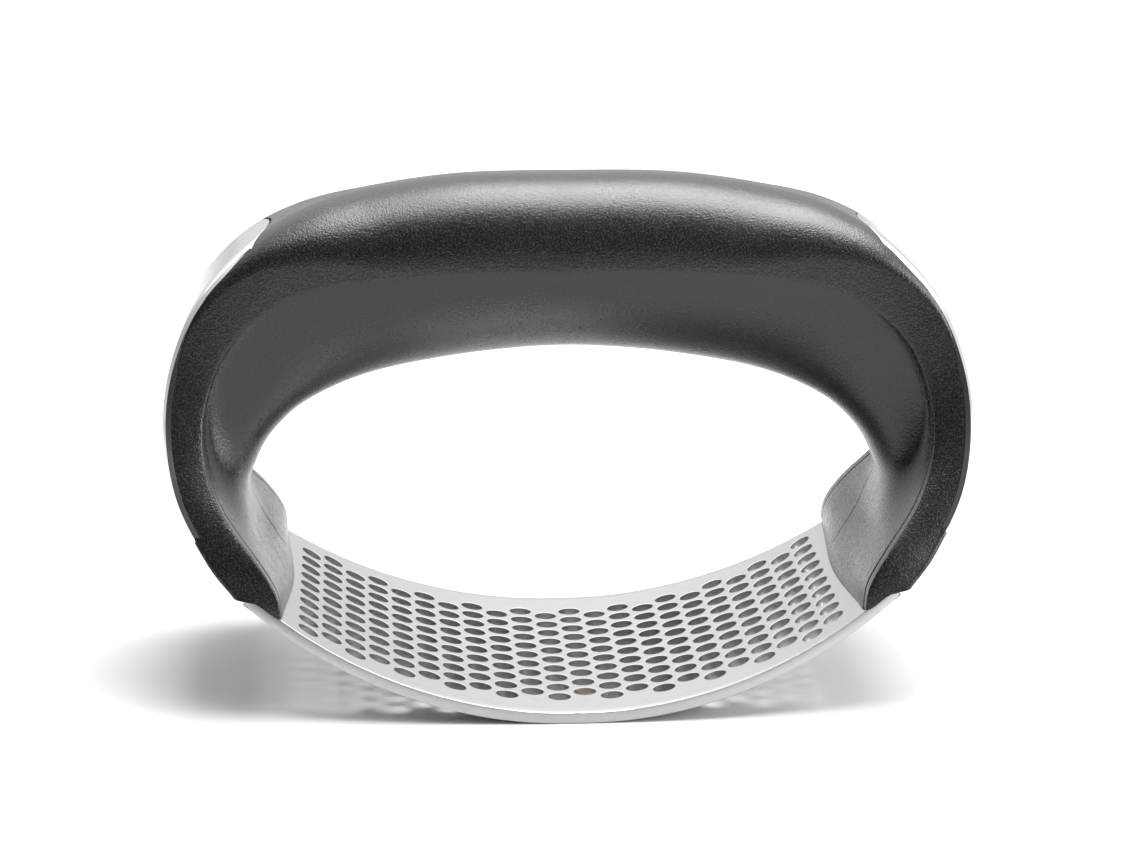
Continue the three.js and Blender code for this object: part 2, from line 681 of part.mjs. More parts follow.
function buildOuterShell() {
  let shell = sweep(shellOutline, -LAST, LAST);
  shell = shell.subtract(sweep(shellHollow, -SHELL_HOLLOW_END, SHELL_HOLLOW_END));
  for (const spot of allScrews) {
    shell = shell.add(placedSolid(rod(PAD_RADIUS, -spot.padDepth, -GAP), spot));
  }
  shell = shell.subtract(sweep(linerRoom, -LAST, LAST));
  for (const side of SIDES) shell = shell.subtract(toSolid(trim(side, GAP)));
  for (const spot of allScrews) {
    const head = rod(HEAD_RADIUS + GAP, -HEAD_HEIGHT - GAP / 2, 2 * CUT);
    const shank = rod(SHANK_RADIUS + GAP, -spot.length - CUT, 0);
    shell = shell.subtract(placedSolid(head, spot)).subtract(placedSolid(shank, spot));
  }
  return cutFeet(shell);
}

function buildInnerShells() {
  const whole = sweep(linerOutline, -LAST, LAST);
  let liner = whole.subtract(sweep(gripHollow, -GRIP_HOLLOW_END, GRIP_HOLLOW_END));
  for (const spot of allScrews.filter((s) => s.isUpper)) {
    const boss = placedSolid(rod(BOSS_RADIUS, -BOSS_DEPTH, -spot.padDepth), spot);
    liner = liner.add(boss.intersect(whole));
  }
  for (const spot of allScrews) {
    const depth = HEAD_HEIGHT + spot.length + 2 * GAP;
    liner = liner.subtract(placedSolid(rod(SHANK_RADIUS + GAP, -depth, 0), spot));
  }
  liner = cutFeet(liner);
  return [
    liner.subtract(sweep(behindSeam(-ROOT_GAP), -LAST, LAST)),
    liner.intersect(sweep(behindSeam(ROOT_GAP), -LAST, LAST)),
  ];
}

const blackGrain = new THREE.MeshStandardMaterial({ color: 0x2b2b2c, roughness: 0.55, metalness: 0 });
const blackSmooth = new THREE.MeshStandardMaterial({ color: 0x303031, roughness: 0.35, metalness: 0 });
const satinSteel = new THREE.MeshStandardMaterial({ color: 0xc9cacb, roughness: 0.3, metalness: 1 });
const polishedSteel = new THREE.MeshStandardMaterial({ color: 0xdedfe0, roughness: 0.12, metalness: 1 });
const zincSteel = new THREE.MeshStandardMaterial({ color: 0xa9abae, roughness: 0.4, metalness: 1 });

const press = new THREE.Group();

function addPiece(name, geometry, material) {
  const mesh = new THREE.Mesh(geometry, material);
  mesh.name = name;
  press.add(mesh);
  return mesh;
}

addPiece('rocker_plate', toGeometry(buildPlate()), satinSteel);
addPiece('handle_outer_shell', toGeometry(buildOuterShell()), blackGrain);
const [innerFront, innerBack] = buildInnerShells();
addPiece('handle_inner_shell_front', toGeometry(innerFront), blackSmooth);
addPiece('handle_inner_shell_back', toGeometry(innerBack), blackSmooth);
for (const side of SIDES) {
  const name = side < 0 ? 'left' : 'right';
  addPiece(`trim_strip_${name}`, trim(side, 0), polishedSteel);
  for (const spot of screwPlaces(side)) {
    aim(addPiece(`screw_${name}_${spot.name}`, screwGeometry(spot.length), zincSteel), spot);
  }
}

export default press;
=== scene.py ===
# Rocking garlic press: the visible model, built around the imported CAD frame. The shapes are
# worked out in millimetres and turned into metres where the meshes are made.
import math

import bpy
import numpy as np
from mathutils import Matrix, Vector


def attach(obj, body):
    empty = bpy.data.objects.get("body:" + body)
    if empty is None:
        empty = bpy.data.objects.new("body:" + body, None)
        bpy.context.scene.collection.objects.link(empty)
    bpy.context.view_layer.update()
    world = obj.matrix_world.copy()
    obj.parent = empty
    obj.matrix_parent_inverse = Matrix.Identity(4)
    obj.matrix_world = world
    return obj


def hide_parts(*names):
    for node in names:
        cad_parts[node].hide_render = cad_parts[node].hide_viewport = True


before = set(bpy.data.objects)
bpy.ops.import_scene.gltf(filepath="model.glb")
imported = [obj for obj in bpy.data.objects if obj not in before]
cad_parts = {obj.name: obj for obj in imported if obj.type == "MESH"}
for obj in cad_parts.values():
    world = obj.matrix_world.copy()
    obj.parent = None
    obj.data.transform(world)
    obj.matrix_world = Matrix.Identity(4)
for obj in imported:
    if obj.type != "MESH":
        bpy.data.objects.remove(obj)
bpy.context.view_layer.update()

MM = 0.001
SIDES = {"left": -1, "right": 1}

# ---------------------------------------------------------------- the handle's sections

# Stations from the middle of the grip down to the foot. Each has the outer face's x and z, the
# inner surface's x and z, the depth of the crease below the outer face, the half depth in Y, the
# corner's reach in Y and in depth, how far the section has changed from grip (0) to leg (1), and
# the Y of the joint between the two inner shells. The crease is where the outer shell's edge meets
# the inner shells.
STATIONS = np.array([
    [0.0, 68.2, 0.0, 44.8, 11.5, 9.9, 9.9, 11.2, 0.0, 0.0],
    [14.0, 67.95, 9.5, 44.25, 11.4, 9.9, 9.9, 11.1, 0.0, 0.0],
    [26.0, 66.3, 18.5, 43.0, 10.8, 9.9, 9.4, 9.8, 0.0, 0.0],
    [35.0, 63.9, 25.5, 41.5, 9.7, 9.9, 7.4, 6.6, 0.1, 0.0],
    [42.6, 59.5, 31.0, 39.5, 8.35, 10.0, 4.4, 3.4, 0.3, 0.0],
    [48.85, 52.6, 35.8, 36.8, 7.1, 10.6, 2.2, 1.8, 0.65, 0.8],
    [52.2, 44.5, 39.4, 33.2, 6.4, 11.9, 1.3, 1.15, 0.92, 5.0],
    [53.1, 36.5, 41.4, 29.6, 6.15, 14.3, 1.0, 0.9, 1.0, 7.7],
    [51.65, 28.4, 42.4, 26.1, 6.35, 17.8, 0.9, 0.8, 1.0, 8.0],
    [47.6, 20.9, 41.5, 21.2, 6.4, 21.2, 0.9, 0.8, 1.0, 8.0],
    [44.4, 16.9, 38.8, 17.0, 5.9, 22.7, 0.9, 0.8, 1.0, 8.0],
    [41.6, 13.6, 36.9, 13.8, 3.7, 23.3, 0.9, 0.8, 1.0, 8.0],
    [39.6, 11.4, 36.8, 11.4, 2.0, 23.4, 0.9, 0.8, 1.0, 8.0],
])
LAST = len(STATIONS) - 1
FOOT_START = 9.0             # the feet begin at this station
# The spline also needs a row before the first station and one after the last.
MIRROR = np.array([-1, 1, -1, 1, 1, 1, 1, 1, 1, 1])
ROWS = np.vstack([STATIONS[1] * MIRROR, STATIONS, 2 * STATIONS[-1] - STATIONS[-2]])

SHELL_WALL = 1.8
SHELL_ROOF = 2.9             # depth of the hollow's roof below the outer face
LEAST_DROP = 0.6             # least depth of the hollow's corner, and least height of its side
LEAST_FLAT = 0.6             # half width that the outer face keeps between its corners
JOINT = 0.3                  # gap between the outer shell's wall and the inner shells
HAIRLINE = 0.05              # each piece stays this far from a tight joint
TOUCH = 0.004                # and on the grip, where the joint doesn't show, this far
BULGE_HALF_DEPTH = 9.3       # of the rounded bar inside each leg
EDGE = 0.24                  # rounding of the plastic's edges
BOW = 0.45                   # the legs' front and back faces swell by this much
TRIM_THICKNESS = 1.0
TRIM_TOP = 3.5               # stations where the trim starts and ends, on its centre line
TRIM_FOOT = 8.78
TRIM_TOP_RADIUS = 9.5        # the ends are arcs across the strip
TRIM_FOOT_RADIUS = 95
TRIM_TOP_EDGE = 0.48         # share of the corner left bare beside the trim near its top,
TRIM_EDGE = 0.3              # and lower down
TRIM_WIDENS = (3.8, 4.5)     # between these stations
STATION_LENGTH = 9.0         # along the outer face, near the trim's ends
SEAM_SHIFT = 0.25            # low on the legs the inner shells' joint lies nearer the front by
SEAM_SHIFT_START = 8.4       # this share of its Y, from this station on
SEAM_SHIFT_SPAN = 1.6


class Section:
    """The handle's section at each of an array of stations."""

    def __init__(self, t):
        self.t = np.asarray(t, float)
        run = np.minimum(np.abs(self.t), LAST - 1e-9)
        i = run.astype(int)
        f = (run - i)[..., None]
        a, b, c, d = (ROWS[i + k] for k in range(4))
        v = b + 0.5 * f * (c - a + f * (2 * a - 5 * b + 4 * c - d + f * (3 * (b - c) + d - a)))
        side = np.where(self.t < 0, -1.0, 1.0)
        self.x, self.z = side * v[..., 0], v[..., 1]
        inward_x, inward_z = side * v[..., 2] - self.x, v[..., 3] - self.z
        self.thickness = np.hypot(inward_x, inward_z)
        self.inward = inward_x / self.thickness, inward_z / self.thickness
        self.crease, self.half = v[..., 4], v[..., 5]
        self.corner_y = np.minimum(v[..., 6], self.half - LEAST_FLAT)
        self.corner_depth = v[..., 7]
        self.leg = np.clip(v[..., 8], 0, 1)
        shifted = smooth((np.abs(self.t) - SEAM_SHIFT_START) / SEAM_SHIFT_SPAN)
        self.seam = v[..., 9] * (1 - SEAM_SHIFT * shifted)

    def place(self, y, depth):
        """Points at y and at a depth below the outer face's middle."""
        x = self.x + self.inward[0] * depth
        z = self.z + self.inward[1] * depth
        return np.stack(np.broadcast_arrays(x, y, z), -1)

    def face_depth(self, y):
        """Depth of the outer face at y: none in the middle, and a rounded corner at each side."""
        past = np.maximum(0, np.abs(y) - (self.half - self.corner_y)) / self.corner_y
        return self.corner_depth * (1 - np.sqrt(np.maximum(0, 1 - past * past)))

    def liner_half(self):
        return self.half - self.leg * (SHELL_WALL + JOINT)

    def trim_half(self):
        start, end = TRIM_WIDENS
        widened = smooth((np.abs(self.t) - start) / (end - start))
        return self.half - lerp(TRIM_TOP_EDGE, TRIM_EDGE, widened) * self.corner_y


def lerp(a, b, u):
    return a + (b - a) * u


def smooth(u):
    u = np.clip(u, 0, 1)
    return u * u * (3 - 2 * u)


def trim_start(y):
    """Station of the trim's upper end at y."""
    return TRIM_TOP + y * y / (2 * TRIM_TOP_RADIUS * STATION_LENGTH)


def trim_stop(y):
    """Station of the trim's lower end at y."""
    return TRIM_FOOT - y * y / (2 * TRIM_FOOT_RADIUS * STATION_LENGTH)


def evaluate(columns, t):
    """Points of an outline's columns at t, whose last axis runs over the columns."""
    points = np.empty(t.shape + (3,))
    for j, column in enumerate(columns):
        s = Section(t[..., j])
        points[..., j, :] = s.place(*column(s))
    return points


# ---------------------------------------------------------------- the plate's side view

SHEET = 1.5
OUTER_RADIUS = 67.5
INNER_RADIUS = OUTER_RADIUS - SHEET
PITCH = 4.0
HOLE_RADIUS = 1.5
COLUMNS = 22
ROWS_OF_HOLES = 10
COLUMN_STEP = PITCH * math.cos(math.pi / 6)
ARC_Z = OUTER_RADIUS * math.cos(COLUMN_STEP / INNER_RADIUS)    # height of the arc's centre
ARC_END = INNER_RADIUS * math.radians(39.5)
BEND_START = INNER_RADIUS * math.radians(37.2)
BEND_RADIUS = 4.5
TONGUE_ANGLE = math.radians(72)
TONGUE_LENGTH = 17.6
BEND_LENGTH = (BEND_RADIUS - SHEET) * (TONGUE_ANGLE - BEND_START / INNER_RADIUS)
PLATE_HALF_DEPTH = 25.8
PLATE_EDGE_RADIUS = 211
MIDDLE_LIFT = OUTER_RADIUS - ARC_Z      # flattens the arc's lowest part onto z = 0
LIFT_ANGLE = math.radians(5)

# Lower edge of the feet beyond the plate's curve.
LIP_START = (40.7, 15.7)
LIP_END = (43.7, 16.25)


def plate_point(along, y, height, tongue=False):
    """A point of the plate, height above its outer face at a distance along its inner face."""
    side = np.where(along < 0, -1.0, 1.0)
    run = np.abs(along)
    angle = run / INNER_RADIUS
    radius = OUTER_RADIUS - height
    x = radius * np.sin(angle)
    z = ARC_Z - radius * np.cos(angle) + MIDDLE_LIFT * np.exp(-(angle / LIFT_ANGLE) ** 2)
    if tongue:
        start = BEND_START / INNER_RADIUS
        bent = np.clip(run - BEND_START, 0, BEND_LENGTH) / BEND_LENGTH
        turned = lerp(start, TONGUE_ANGLE, bent)
        straight = np.maximum(0, run - BEND_START - BEND_LENGTH)
        centre = OUTER_RADIUS - BEND_RADIUS
        x = centre * math.sin(start) + (BEND_RADIUS - height) * np.sin(turned)
        z = ARC_Z - centre * math.cos(start) - (BEND_RADIUS - height) * np.cos(turned)
        x, z = x + straight * np.cos(turned), z + straight * np.sin(turned)
    return np.stack(np.broadcast_arrays(side * x, y, z), -1)


def plate_half_depth(along):
    return PLATE_HALF_DEPTH - PLATE_EDGE_RADIUS + np.sqrt(PLATE_EDGE_RADIUS ** 2 - along ** 2)


def foot_height(x, clearance):
    """Height of the feet's lower edge over x."""
    x = np.abs(x)
    radius = INNER_RADIUS - clearance
    arc = ARC_Z - np.sqrt(np.maximum(0, radius ** 2 - x ** 2))
    slope = (LIP_END[1] - LIP_START[1]) / (LIP_END[0] - LIP_START[0])
    lip = LIP_START[1] + clearance + slope * (x - LIP_START[0])
    return np.where(x > LIP_START[0], np.minimum(arc, lip), arc)


TIP_X = 39.0                 # the feet's front and back tips are rounded inside this X,
TIP_Y = 20.2                 # and from this Y outwards
TIP_SPAN = 2.4
TIP_RADIUS = 1.45
FOOT_HALVINGS = 30           # steps of the search for the feet's edge


def foot_station(columns, clearance):
    """For each column the station where it meets the feet's lower edge."""
    low = np.full(len(columns), FOOT_START)
    high = np.full(len(columns), float(LAST))
    for _ in range(FOOT_HALVINGS):
        t = (low + high) / 2
        points = evaluate(columns, t)
        inside = np.maximum(0, TIP_X - np.abs(points[:, 0]))
        outwards = smooth((np.abs(points[:, 1]) - TIP_Y) / TIP_SPAN)
        tip = inside ** 2 / (2 * TIP_RADIUS) * outwards
        above = points[:, 2] > foot_height(points[:, 0], clearance) + tip
        low = np.where(above, t, low)
        high = np.where(above, high, t)
    return (low + high) / 2


# ---------------------------------------------------------------- meshes

def add_mesh(name, vertices, faces, sharp=35):
    """A smooth-shaded piece whose edges stay sharp above an angle in degrees."""
    mesh = bpy.data.meshes.new(name)
    mesh.from_pydata((np.asarray(vertices) * MM).tolist(), [], faces)
    mesh.validate()
    mesh.shade_smooth()
    mesh.set_sharp_from_angle(angle=math.radians(sharp))
    piece = bpy.data.objects.new(name, mesh)
    bpy.context.scene.collection.objects.link(piece)
    return piece


def add_slab(name, outer, inner, sharp=35):
    """A closed body between two grids of points that match."""
    rows, columns = outer.shape[:2]
    vertices = np.concatenate([outer.reshape(-1, 3), inner.reshape(-1, 3)])
    index = np.arange(rows * columns).reshape(rows, columns)
    faces = []

    def quads(a, b, c, d):
        faces.extend(np.stack([a.ravel(), b.ravel(), c.ravel(), d.ravel()], -1).tolist())

    under = index + rows * columns
    quads(index[:-1, :-1], index[:-1, 1:], index[1:, 1:], index[1:, :-1])
    quads(under[:-1, :-1], under[1:, :-1], under[1:, 1:], under[:-1, 1:])
    quads(index[:-1, 0], index[1:, 0], under[1:, 0], under[:-1, 0])
    quads(index[1:, -1], index[:-1, -1], under[:-1, -1], under[1:, -1])
    quads(index[0, 1:], index[0, :-1], under[0, :-1], under[0, 1:])
    quads(index[-1, :-1], index[-1, 1:], under[-1, 1:], under[-1, :-1])
    return add_mesh(name, vertices, faces, sharp)


MOST_INSET = 0.45            # share of the wall that a rim's rounding may take


def round_rim(outer, inner, rings, radius, last=True):
    """Pulls the outer grid's last or first rings in towards the inner grid, as a rounding."""
    for k in range(rings):
        ring = -1 - k if last else k
        distance = radius * (1 - math.sin(0.5 * math.pi * k / rings))
        inset = radius - math.sqrt(max(0, radius ** 2 - distance ** 2))
        reach = inner[ring] - outer[ring]
        length = np.linalg.norm(reach, axis=-1, keepdims=True)
        outer[ring] += reach * np.minimum(MOST_INSET, inset / length)


# ---------------------------------------------------------------- the outer shell

RING_STEP = 0.08             # stations between rings
END_WALL = 0.012             # half the width, in stations, of the recess's steep ends
END_RING = 0.03              # the next ring beside them
END_CLEAR = 0.05             # and how far other rings stay away
TOP_BEND_SPAN = 1.8          # rings bend round the trim's ends over this many stations
FOOT_BEND_SPAN = 1.2
MOST_BEND = 0.5              # and at the upper end by no more than this
FOOT_RINGS = 24
RIM_SHARES = (0.98536, 0.99268, 0.99766)     # rings close to the feet's edge, to round it
RIM_RINGS = len(RIM_SHARES) + 1
RIM_RADIUS = 0.2
SHELL_CLEARANCE = 0.12       # between the plate and the handle's pieces
LINER_CLEARANCE = 0.1


def mirrored(half):
    """Columns over the whole width from those of one half, edge to middle."""
    def flip(column):
        def flipped(s):
            y, depth = column(s)
            return -y, depth
        return flipped
    return [flip(column) for column in half] + half[-2::-1]


RECESS_SIDE = 0.12           # room between the trim and its recess, at the sides and below
RECESS = TRIM_THICKNESS + RECESS_SIDE
GRIP_EDGE = 0.02             # rounding at the crease on the grip, where there is no step
BOW_SPAN = 1.5               # the bow fades out above the foot over this many stations
RECESS_TURN = 1e-3           # angle between the two columns of the recess's steep side


def in_recess(s, y):
    run = np.abs(s.t)
    return (run > trim_start(y)) & (run < trim_stop(y))


def shell_half():
    """The outer shell's columns from the crease over the corner to the middle."""
    columns = []
    edge_steps, side_steps, corner_steps, trim_steps, face_steps = 4, 9, 7, 9, 6

    def foot(s):
        return s.crease - lerp(TOUCH, HAIRLINE, s.leg)

    def edge(s):
        return lerp(GRIP_EDGE, EDGE, s.leg)

    def side(s, u):
        """The front or back face from the crease (0) to the corner (1)."""
        bow = BOW * s.leg * smooth((LAST - 1 - np.abs(s.t)) / BOW_SPAN)
        return s.half - bow * u * u

    def trim_angle(s):
        """Angle round the corner at which the recess starts."""
        bare = (s.half - s.trim_half() - RECESS_SIDE) / s.corner_y
        return np.arccos(np.clip(1 - bare, 0, 1))

    def corner(s, angle):
        reach = s.corner_y - (s.half - side(s, 1))
        y = side(s, 1) - reach * (1 - np.cos(angle))
        return y, s.corner_depth * (1 - np.sin(angle))

    def sunk(s, y, depth):
        return y, depth + RECESS * in_recess(s, y)

    for u in (0, 1):
        columns.append(lambda s, u=u: (lerp(s.half - SHELL_WALL, s.half - edge(s), u), foot(s)))
    for k in range(1, edge_steps + 1):
        a = 0.5 * math.pi * k / edge_steps
        columns.append(lambda s, a=a: (
            s.half - edge(s) * (1 - math.sin(a)), foot(s) - edge(s) * (1 - math.cos(a))))
    for k in range(1, side_steps):
        columns.append(lambda s, u=k / side_steps: (
            side(s, u), lerp(foot(s) - edge(s), s.corner_depth, u)))
    for k in range(corner_steps + 1):
        columns.append(lambda s, u=k / corner_steps: corner(s, u * trim_angle(s)))
    for k in range(trim_steps + 1):
        columns.append(lambda s, u=k / trim_steps: sunk(
            s, *corner(s, lerp(trim_angle(s) + RECESS_TURN, 0.5 * math.pi, u))))
    for k in range(1, face_steps + 1):
        columns.append(lambda s, u=k / face_steps: sunk(
            s, (s.half - s.corner_y) * (1 - u), 0 * s.half))
    return columns


HOLLOW_FOOT = 0.3            # the hollow's side starts this far above the crease
HOLLOW_REACH = 0.8           # least reach of its corner in Y
HOLLOW_ROOF = 1.2            # least height of its roof above the crease


def hollow_shoulder(s):
    """Depth at which the hollow's side turns into its corner."""
    drop = SHELL_ROOF + np.maximum(LEAST_DROP, s.corner_depth - SHELL_ROOF)
    return np.minimum(s.crease - LEAST_DROP, drop)


def hollow_corner(s, angle):
    reach = np.maximum(HOLLOW_REACH, s.corner_y - SHELL_WALL - LEAST_DROP)
    roof = np.minimum(SHELL_ROOF, s.crease - HOLLOW_ROOF)
    y = s.half - SHELL_WALL - reach * (1 - math.cos(angle))
    return y, lerp(hollow_shoulder(s), roof, math.sin(angle))


def hollow_roof(s, u):
    """The roof from the corner's end (0) to the middle (1)."""
    y, depth = hollow_corner(s, 0.5 * math.pi)
    return y * (1 - u), depth


def hollow_half(count):
    """The hollow's surface, with as many columns as the outside."""
    wall_columns, arc_columns = 10, 12
    columns = []
    for k in range(wall_columns):
        columns.append(lambda s, u=k / (wall_columns - 1): (
            s.half - SHELL_WALL, lerp(s.crease - HOLLOW_FOOT, hollow_shoulder(s), u)))
    for k in range(1, arc_columns + 1):
        columns.append(lambda s, a=0.5 * math.pi * k / arc_columns: hollow_corner(s, a))
    rest = count - len(columns)
    for k in range(1, rest + 1):
        columns.append(lambda s, u=k / rest: hollow_roof(s, u))
    return columns


def ring_stations(columns, clearance):
    """Stations of a grid's rings by columns. They bend round the trim's ends and end on the feet's
    lower edge."""
    ends = [TRIM_TOP - END_WALL, TRIM_TOP + END_WALL, TRIM_TOP - END_RING, TRIM_TOP + END_RING,
            TRIM_FOOT - END_WALL, TRIM_FOOT + END_WALL]
    even = np.arange(0, FOOT_START, RING_STEP)
    clear = np.abs(even[:, None] - np.array([TRIM_TOP, TRIM_FOOT])).min(1) > END_CLEAR
    base = np.sort(np.concatenate([even[clear], ends]))
    y = np.stack([column(Section(base))[0] for column in columns], -1)
    up = 1 - smooth(np.abs(base - TRIM_TOP) / TOP_BEND_SPAN)
    down = 1 - smooth(np.abs(base - TRIM_FOOT) / FOOT_BEND_SPAN)
    t = base[:, None] + up[:, None] * (
        np.minimum(trim_start(y), TRIM_TOP + MOST_BEND) - TRIM_TOP)
    t = t + down[:, None] * (trim_stop(y) - TRIM_FOOT)
    end = foot_station(columns, clearance)
    shares = np.sort(np.concatenate([np.linspace(0, 1, FOOT_RINGS)[1:], RIM_SHARES]))
    foot = t[-1] + shares[:, None] * (end - t[-1])
    right = np.concatenate([t, foot])
    return np.concatenate([-right[:0:-1], right])


def build_outer_shell():
    half = shell_half()
    columns = mirrored(half)
    inside = mirrored(hollow_half(len(half)))
    t = ring_stations(columns, SHELL_CLEARANCE)
    outer = evaluate(columns, t)
    inner = evaluate(inside, t)
    for last in (False, True):
        round_rim(outer, inner, RIM_RINGS, RIM_RADIUS, last)
    return add_slab("outer_shell", outer, inner)


# ---------------------------------------------------------------- the inner shells

LEG_HALF = 12.5              # from this half depth a leg broadens into its foot,
BROADENING = 7.0             # over this much more
SEAM_GAP = 0.13              # half the gap between the inner shells
SEAM_OPENING = 0.3           # and how much more it is low on the left leg,
SEAM_OPEN_AT = -9.75         # round this station
SEAM_OPEN_SPAN = 0.45
LINER_LIP = 1.5              # hidden edge of the inner shells inside the outer shell
LINER_THICKNESS = 2.0
LINER_CENTRE = 2.0           # the hidden side is drawn in towards a point this far above the
LINER_LEG_CENTRE = 9.0       # crease on the grip, and this much further on the legs
LINER_KEPT = 0.2             # least share of the distance to that point that is kept
FRONT_COLUMNS = 56
BACK_COLUMNS = 40
JOINT_HALVINGS = 24          # steps of the search for the joint


def bezier(s, u):
    """The inner surface from its edge (u = 0) to the middle (u = 1), as y and depth. The control
    points are shares of its half width and rise. A foot is broader and flatter than a leg."""
    half = s.liner_half() - EDGE * s.leg
    rise = s.thickness - s.crease
    foot = smooth((half - LEG_HALF) / BROADENING)
    y1 = lerp(half - 0.3, lerp(0.45 * half + 1.2, 0.66 * half, foot), s.leg)
    d1 = lerp(0.35 * rise, 0.2 * rise * foot, s.leg)
    y2 = lerp(0.55 * half, BULGE_HALF_DEPTH * (1 - 0.3 * foot), s.leg)
    v = 1 - u
    y = v ** 3 * half + 3 * u * v * v * y1 + 3 * u * u * v * y2
    depth = 3 * u * v * v * d1 + (3 * u * u * v + u ** 3) * rise
    return y, s.crease + TOUCH * (1 - s.leg) + depth


def reach_of(s, y):
    """The bezier's parameter at y."""
    low, high = np.zeros_like(s.t), np.ones_like(s.t)
    for _ in range(JOINT_HALVINGS):
        u = (low + high) / 2
        wide = bezier(s, u)[0] > y
        low, high = np.where(wide, u, low), np.where(wide, high, u)
    return (low + high) / 2


def seam_gap(t):
    """Half the gap between the inner shells. The left leg's joint stands open above the plate."""
    return SEAM_GAP + SEAM_OPENING * np.exp(-((t - SEAM_OPEN_AT) / SEAM_OPEN_SPAN) ** 2)


def liner_columns(sign, count):
    """Columns of the front (-1) or back (1) inner shell, from its edge to the joint, and those of
    its hidden side. On the far side of the middle the parameter runs from 1 to 2."""
    # The first column lies just inside the edge, and the last but one just short of the joint.
    first, last_but_one = 1e-4, 0.995
    edge_steps = 4

    def seam_end(s):
        end = sign * s.seam + seam_gap(s.t)
        u = reach_of(s, np.abs(end))
        return np.where(end >= 0, u, 2 - u)

    def surface(s, u):
        y, depth = bezier(s, np.where(u > 1, 2 - u, u))
        return sign * np.where(u > 1, -y, y), depth

    outer = []
    for u in (0, 0.5):
        outer.append(lambda s, u=u: (
            sign * s.liner_half(), s.crease - EDGE * s.leg - LINER_LIP * s.leg * (1 - u)))
    for k in range(edge_steps):
        a = 0.5 * math.pi * k / edge_steps
        outer.append(lambda s, a=a: (
            sign * (s.liner_half() - EDGE * s.leg * (1 - math.cos(a))),
            s.crease + TOUCH * (1 - s.leg) - EDGE * s.leg * (1 - math.sin(a))))
    for k in range(count):
        outer.append(lambda s, u=k / (count - 1): surface(
            s, u * seam_end(s) * last_but_one + first))
    outer.append(lambda s: surface(s, seam_end(s)))
    inner = [lambda s, column=column: hidden(s, *column(s)) for column in outer]
    return outer, inner


def hidden(s, y, depth):
    """The point of the hidden side that lies behind a point of the surface."""
    centre = s.crease - LINER_LEG_CENTRE * s.leg - LINER_CENTRE
    length = np.hypot(y, depth - centre)
    keep = np.maximum(LINER_KEPT, 1 - LINER_THICKNESS / length)
    return y * keep, centre + (depth - centre) * keep


def build_inner_shell(name, sign, count):
    columns, behind = liner_columns(sign, count)
    t = ring_stations(columns, LINER_CLEARANCE)
    outer = evaluate(columns, t)
    inner = evaluate(behind, t)
    if sign > 0:
        outer, inner = outer[:, ::-1], inner[:, ::-1]
    return add_slab(name, outer[:, ::-1], inner[:, ::-1])


# ---------------------------------------------------------------- the trims

# The long edges' bevel, in Y and in depth: what it is at the trim's upper end, and what is added
# below it over BEVEL_FADE stations.
BEVEL_REACH = (0.12, 0.5)
BEVEL_DROP = (0.12, 0.06)
BEVEL_FADE = 0.35
BEVEL_SHARES = (0.0, 0.06, 0.35, 0.65, 0.94, 1.0)
TRIM_SIDE = 0.7              # depth of the trim's side
TRIM_FACE_STEPS = 14
TRIM_END_GAPS = (0.022, 0.02)               # stations between the trim and its recess
TRIM_END_RINGS = (0, 0.0012, 0.003, 0.006)  # close to the ends, to round them
TRIM_RINGS = 90
TRIM_PASSES = 4
TRIM_RIM_RADIUS = 0.15


def trim_half_columns():
    """The trim's outer side from its edge to the middle."""
    def bevel(s, u):
        wide = s.trim_half()
        fade = smooth((np.abs(s.t) - trim_start(wide)) / BEVEL_FADE)
        reach = BEVEL_REACH[0] + BEVEL_REACH[1] * fade
        top = s.face_depth(wide - reach)
        foot = s.face_depth(wide) + BEVEL_DROP[0] + BEVEL_DROP[1] * fade
        return wide - reach * u, lerp(foot, top, u)

    def face(s, u):
        y = bevel(s, 1.0)[0] * (1 - u)
        return y, s.face_depth(y)

    columns = [lambda s: (s.trim_half(), s.face_depth(s.trim_half()) + TRIM_SIDE)]
    for u in BEVEL_SHARES:
        columns.append(lambda s, u=u: bevel(s, u))
    for k in range(1, TRIM_FACE_STEPS + 1):
        columns.append(lambda s, u=k / TRIM_FACE_STEPS: face(s, u))
    return columns


def behind_trim(column):
    def back(s):
        y = column(s)[0]
        return y, s.face_depth(y) + TRIM_THICKNESS
    return back


def build_trim(name, side):
    half = trim_half_columns()
    columns = mirrored(half)
    back = mirrored([behind_trim(column) for column in half])
    ends = np.array(TRIM_END_RINGS)
    u = np.sort(np.concatenate([ends, 1 - ends, np.linspace(0.02, 0.98, TRIM_RINGS)]))[:, None]
    # The ends' stations depend on y, and y a little on the station, so this repeats.
    t = lerp(TRIM_TOP, TRIM_FOOT, u) * np.ones(len(columns))
    for _ in range(TRIM_PASSES):
        y = np.stack([c(Section(t[:, j]))[0] for j, c in enumerate(columns)], -1)
        t = lerp(trim_start(y) + TRIM_END_GAPS[0], trim_stop(y) - TRIM_END_GAPS[1], u)
    outer = evaluate(columns, side * t)
    inner = evaluate(back, side * t)
    for last in (False, True):
        round_rim(outer, inner, len(ends), TRIM_RIM_RADIUS, last)
    if side < 0:
        outer, inner = outer[::-1], inner[::-1]
    return add_slab(name, outer, inner, sharp=25)


# ---------------------------------------------------------------- the plate

